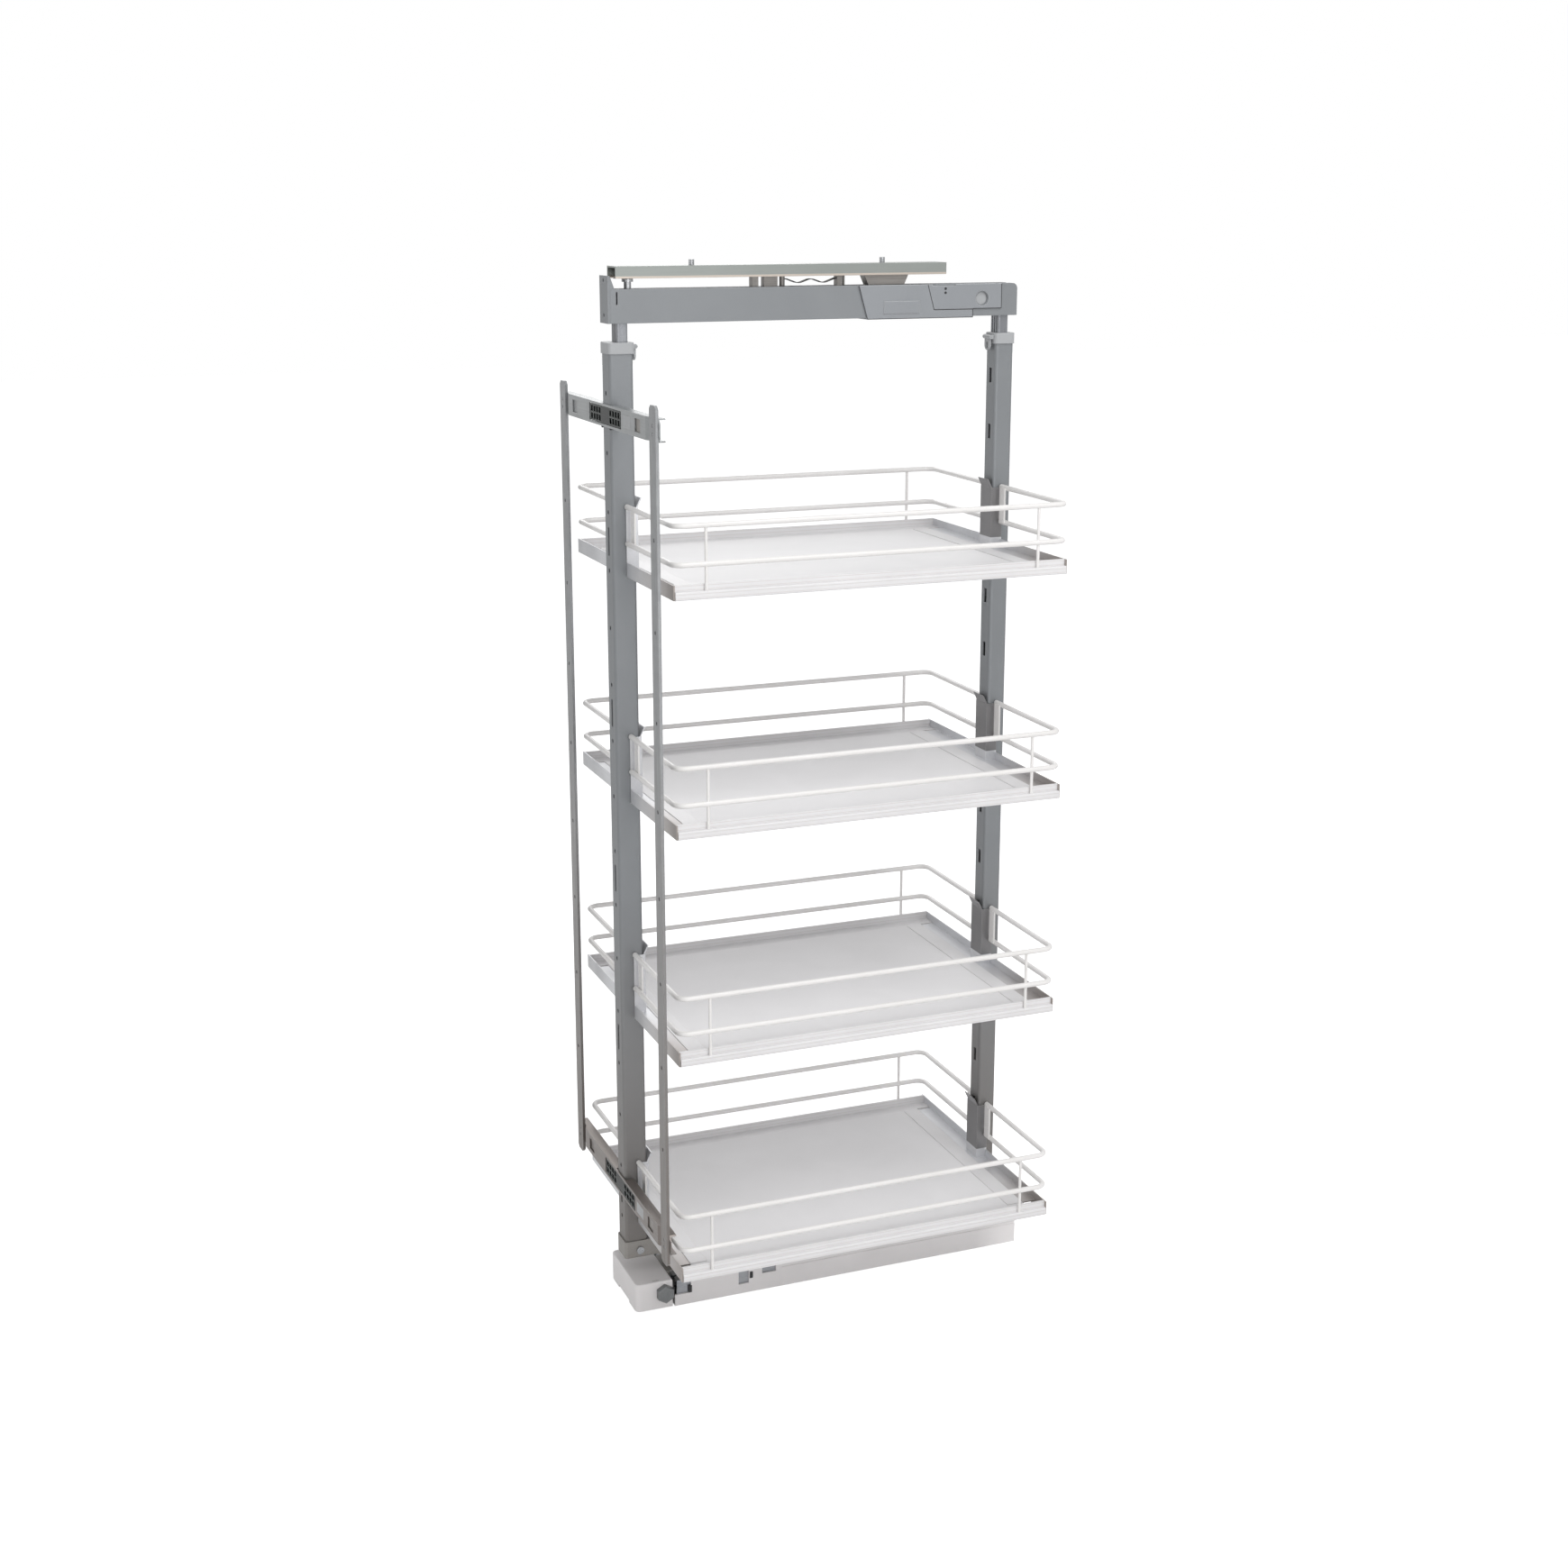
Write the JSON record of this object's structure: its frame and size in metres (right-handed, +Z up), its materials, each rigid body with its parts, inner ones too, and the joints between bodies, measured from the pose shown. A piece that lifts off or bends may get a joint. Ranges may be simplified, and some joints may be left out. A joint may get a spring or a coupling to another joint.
{
  "type": "pull-out pantry frame",
  "caption": "Tall pull-out frame for a narrow kitchen cabinet: hook-in wire-railed trays between two posts on a floor runner, guided by a top rail, with strips that carry the door.",
  "frame": {"origin": "on the cabinet floor, at the centre of the base's footprint", "axes": "+X across the cabinet, +Y into it, +Z up; the frame pulls out towards -Y"},
  "size_m": [0.349, 0.4982, 1.2034],
  "materials": {
    "white_plastic": "moulded, off-white",
    "dark_steel": "dark grey powder coat",
    "runner_steel": "zinc-plated",
    "nylon": "natural nylon",
    "screw_steel": "bright zinc",
    "post_paint": "silver-grey coat",
    "grey_plastic": "light grey, moulded",
    "inner_aluminium": "anodised",
    "rail_aluminium": "anodised",
    "black_plastic": "moulded, black",
    "zinc_steel": "zinc-plated",
    "tray_board": "white melamine-faced board",
    "tray_profile": "white coat",
    "bright_steel": "bright zinc",
    "white_wire": "white powder coat"
  },
  "bodies": {
    "base": {"base_housing": "white_plastic", "rear_cap": "white_plastic", "fixed_rails": "runner_steel"},
    "middle_runner": {"middle_runner": "runner_steel", "glide_pads": "nylon"},
    "outer_rollers": {"outer_rollers": "nylon"},
    "inner_rollers": {"inner_rollers": "nylon"},
    "frame": {"inner_rails": "runner_steel", "moving_beam": "dark_steel", "front_cap": "white_plastic", "front_foot": "dark_steel", "rear_foot": "dark_steel", "foot_screws": "screw_steel", "front_post": "post_paint", "rear_post": "post_paint", "front_collar": "grey_plastic", "rear_collar": "grey_plastic", "door_adjusters": "black_plastic"},
    "clamping_bolt": {"clamping_bolt": "dark_steel"},
    "front_lever": {"front_lever": "grey_plastic"},
    "rear_lever": {"rear_lever": "grey_plastic"},
    "top": {"front_inner_post": "inner_aluminium", "rear_inner_post": "inner_aluminium", "inner_post_glides": "black_plastic", "top_bar": "post_paint", "bar_end_bracket": "post_paint", "damper_cover": "grey_plastic", "rear_panels": "grey_plastic", "front_guide_pin": "screw_steel"},
    "front_guide_roller": {"front_guide_roller": "nylon"},
    "guide_carriage": {"guide_carriage": "black_plastic", "rear_glide": "black_plastic", "wave_spring": "screw_steel"},
    "carriage_roller_front": {"carriage_roller_front": "nylon"},
    "carriage_roller_rear": {"carriage_roller_rear": "nylon"},
    "top_rail": {"top_rail": "rail_aluminium", "rail_screws": "screw_steel"},
    "door_frame": {"door_strips": "zinc_steel", "crossbars": "zinc_steel", "crossbar_screws": "screw_steel", "slide_blocks": "grey_plastic"},
    "adjusting_screw_lower": {"adjusting_screw_lower": "screw_steel"},
    "adjusting_screw_upper": {"adjusting_screw_upper": "screw_steel"},
    "tray_1": {"tray_1_floor": "tray_board", "tray_1_sides": "tray_profile", "tray_1_ends": "bright_steel", "tray_1_railing": "white_wire"},
    "tray_2": {"tray_2_floor": "tray_board", "tray_2_sides": "tray_profile", "tray_2_ends": "bright_steel", "tray_2_railing": "white_wire"},
    "tray_3": {"tray_3_floor": "tray_board", "tray_3_sides": "tray_profile", "tray_3_ends": "bright_steel", "tray_3_railing": "white_wire"},
    "tray_4": {"tray_4_floor": "tray_board", "tray_4_sides": "tray_profile", "tray_4_ends": "bright_steel", "tray_4_railing": "white_wire"}
  },
  "joints": [
    {"name": "pull_out", "type": "slide", "parent": "base", "child": "frame", "axis": [0, -1, 0], "range_m": [0, 0.45]},
    {"name": "runner_slide", "type": "slide", "parent": "base", "child": "middle_runner", "axis": [0, -1, 0], "range_m": [0, 0.225]},
    {"name": "outer_roller_spin", "type": "hinge", "parent": "middle_runner", "child": "outer_rollers", "pos_m": [0, 0.2257, 0.017], "axis": [1, 0, 0], "continuous": true},
    {"name": "inner_roller_spin", "type": "hinge", "parent": "middle_runner", "child": "inner_rollers", "pos_m": [0, -0.182, 0.017], "axis": [1, 0, 0], "continuous": true},
    {"name": "clamping_bolt_turn", "type": "hinge", "parent": "frame", "child": "clamping_bolt", "pos_m": [0.05, -0.213, 0.0205], "axis": [1, 0, 0], "range_deg": [-90, 90]},
    {"name": "height_adjust", "type": "slide", "parent": "frame", "child": "top", "axis": [0, 0, 1], "range_m": [0, 0.2]},
    {"name": "front_lever_swing", "type": "hinge", "parent": "frame", "child": "front_lever", "pos_m": [0, -0.2171, 1.1134], "axis": [1, 0, 0], "range_deg": [0, 70]},
    {"name": "rear_lever_swing", "type": "hinge", "parent": "frame", "child": "rear_lever", "pos_m": [0, 0.2073, 1.1134], "axis": [-1, 0, 0], "range_deg": [0, 70]},
    {"name": "carriage_slide", "type": "slide", "parent": "top", "child": "guide_carriage", "axis": [0, 1, 0], "range_m": [0, 0.225]},
    {"name": "rail_slide", "type": "slide", "parent": "guide_carriage", "child": "top_rail", "axis": [0, 1, 0], "range_m": [0, 0.225]},
    {"name": "front_guide_spin", "type": "hinge", "parent": "top", "child": "front_guide_roller", "pos_m": [0, -0.2222, 1.189], "axis": [0, 0, 1], "continuous": true},
    {"name": "carriage_spin_front", "type": "hinge", "parent": "guide_carriage", "child": "carriage_roller_front", "pos_m": [0, 0.003, 1.191], "axis": [0, 0, 1], "continuous": true},
    {"name": "carriage_spin_rear", "type": "hinge", "parent": "guide_carriage", "child": "carriage_roller_rear", "pos_m": [0, 0.085, 1.191], "axis": [0, 0, 1], "continuous": true},
    {"name": "side_adjust", "type": "slide", "parent": "frame", "child": "door_frame", "axis": [1, 0, 0], "range_m": [-0.0025, 0.0025]},
    {"name": "adjusting_turn_lower", "type": "hinge", "parent": "door_frame", "child": "adjusting_screw_lower", "pos_m": [0.09, -0.2445, 0.1444], "axis": [1, 0, 0], "range_deg": [-900, 900]},
    {"name": "adjusting_turn_upper", "type": "hinge", "parent": "door_frame", "child": "adjusting_screw_upper", "pos_m": [0.09, -0.2445, 1.0404], "axis": [1, 0, 0], "range_deg": [-900, 900]},
    {"name": "tray_1_lift", "type": "slide", "parent": "frame", "child": "tray_1", "axis": [0, 0, 1], "range_m": [0, 0.008]},
    {"name": "tray_2_lift", "type": "slide", "parent": "frame", "child": "tray_2", "axis": [0, 0, 1], "range_m": [0, 0.008]},
    {"name": "tray_3_lift", "type": "slide", "parent": "frame", "child": "tray_3", "axis": [0, 0, 1], "range_m": [0, 0.008]},
    {"name": "tray_4_lift", "type": "slide", "parent": "frame", "child": "tray_4", "axis": [0, 0, 1], "range_m": [0, 0.008]}
  ],
  "couplings": [
    {"joint": "runner_slide", "follows": "pull_out", "ratio": 0.5},
    {"joint": "outer_roller_spin", "follows": "pull_out", "rad_per_m": 40.984},
    {"joint": "inner_roller_spin", "follows": "pull_out", "rad_per_m": 40.984},
    {"joint": "carriage_slide", "follows": "pull_out", "ratio": 0.5},
    {"joint": "rail_slide", "follows": "pull_out", "ratio": 0.5},
    {"joint": "adjusting_turn_lower", "follows": "side_adjust", "rad_per_m": 6283.2},
    {"joint": "adjusting_turn_upper", "follows": "side_adjust", "rad_per_m": 6283.2}
  ]
}
